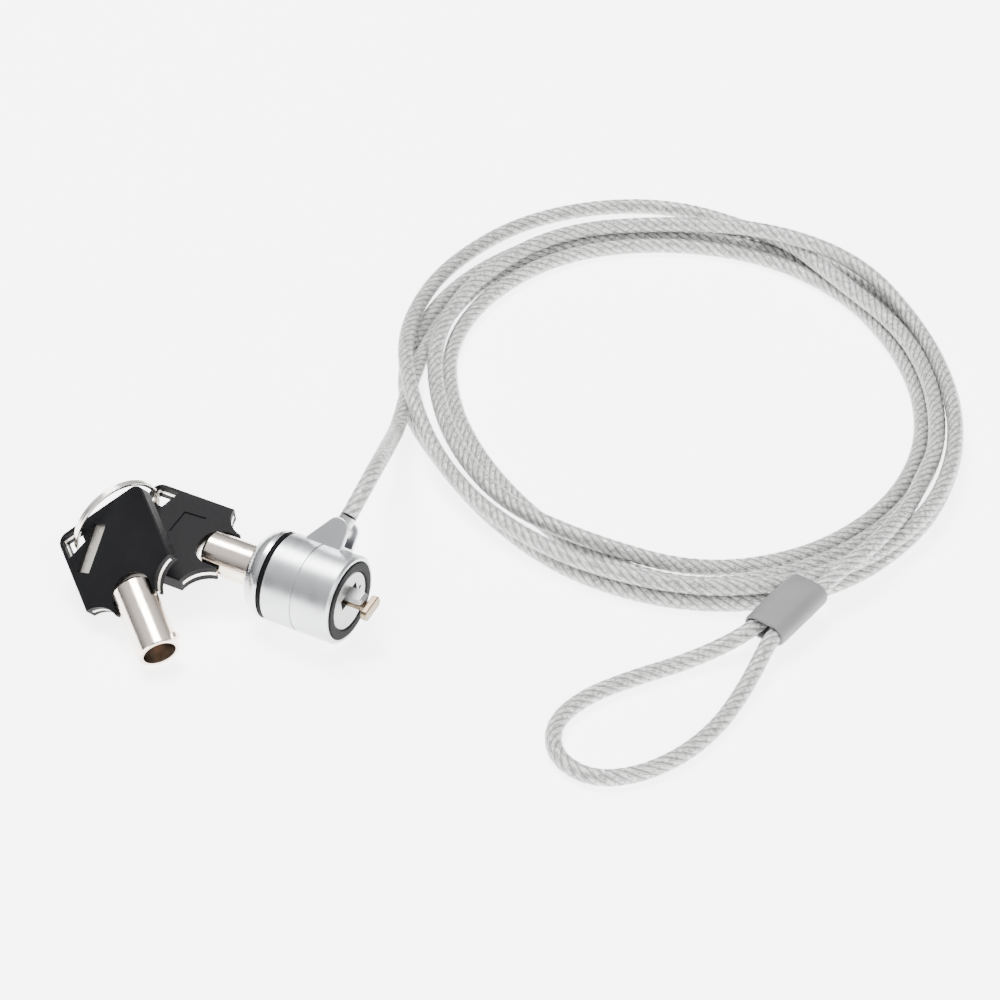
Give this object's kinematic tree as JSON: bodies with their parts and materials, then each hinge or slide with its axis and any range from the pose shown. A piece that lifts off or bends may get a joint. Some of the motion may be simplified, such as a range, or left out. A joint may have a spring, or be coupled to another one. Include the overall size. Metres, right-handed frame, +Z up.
{
  "type": "laptop cable lock",
  "caption": "Laptop cable lock: round lock with a T-bar nose, tubular keys on a split ring, and a coiled jacketed steel cable ending in an eye.",
  "frame": {"origin": "centre of the nose face, on the lock's axis, where the lock meets the device", "axes": "+X out of the nose along the T-bar, +Z up; the lock, keys and cable lie on a surface at z = -10 mm"},
  "size_m": [0.1604, 0.2136, 0.0271],
  "materials": {
    "satin_silver": "satin",
    "black_rubber": "matte",
    "zinc_nose": "bead blasted",
    "lock_steel": "turned",
    "brass": "turned",
    "spring_steel": "bright wire",
    "bar_nickel": "satin nickel",
    "terminal_steel": "satin",
    "cable_jacket": "clear jacket over twisted wire rope",
    "ferrule_grey": "matte",
    "key_nickel": "bright nickel",
    "plate_nickel": "satin nickel",
    "bow_black": "fine matte",
    "ring_nickel": "bright nickel"
  },
  "bodies": {
    "lock": {"lock_body": "satin_silver", "yoke_pin": "lock_steel", "rear_bezel": "satin_silver", "bezel_o_ring": "black_rubber", "nose_ring": "black_rubber", "nose_plate": "zinc_nose", "lock_sleeve": "lock_steel", "pin_housing": "brass", "driver_pins": "brass", "pin_springs": "spring_steel"},
    "rotor": {"rotor": "brass", "tumbler_pins": "brass", "t_bar": "bar_nickel", "retaining_clip": "lock_steel"},
    "inserted_key": {"key_2_tube": "key_nickel", "key_2_plate": "plate_nickel", "key_2_cover_front": "bow_black", "key_2_cover_back": "bow_black"},
    "key_ring": {"split_ring": "ring_nickel"},
    "loose_key": {"key_1_tube": "key_nickel", "key_1_plate": "plate_nickel", "key_1_cover_front": "bow_black", "key_1_cover_back": "bow_black"},
    "cable": {"cable_terminal": "terminal_steel", "cable_lead": "cable_jacket", "cable_coil": "cable_jacket", "cable_tail": "cable_jacket", "cable_eye": "cable_jacket", "ferrule": "ferrule_grey"}
  },
  "joints": [
    {"name": "lock_turn", "type": "hinge", "parent": "lock", "child": "rotor", "pos_m": [0, 0, 0], "axis": [1, 0, 0], "range_deg": [0, 90]},
    {"name": "key_withdraw", "type": "slide", "parent": "rotor", "child": "inserted_key", "axis": [-1, 0, 0], "range_m": [0, 0.012]},
    {"name": "ring_swing", "type": "hinge", "parent": "inserted_key", "child": "key_ring", "pos_m": [-0.0537, 0.007, 0.0015], "axis": [-0.1173, 0.0685, -0.9907], "range_deg": [0, 45]},
    {"name": "loose_key_swing", "type": "hinge", "parent": "key_ring", "child": "loose_key", "pos_m": [-0.0624, -0.0121, -0.0002], "axis": [0.0619, -0.1885, 0.9801], "range_deg": [-25, 0]},
    {"name": "cable_swivel", "type": "hinge", "parent": "lock", "child": "cable", "pos_m": [-0.008, 0.00955, 0.00955], "axis": [0, -0.7071, 0.7071], "range_deg": [-35, 35]}
  ]
}
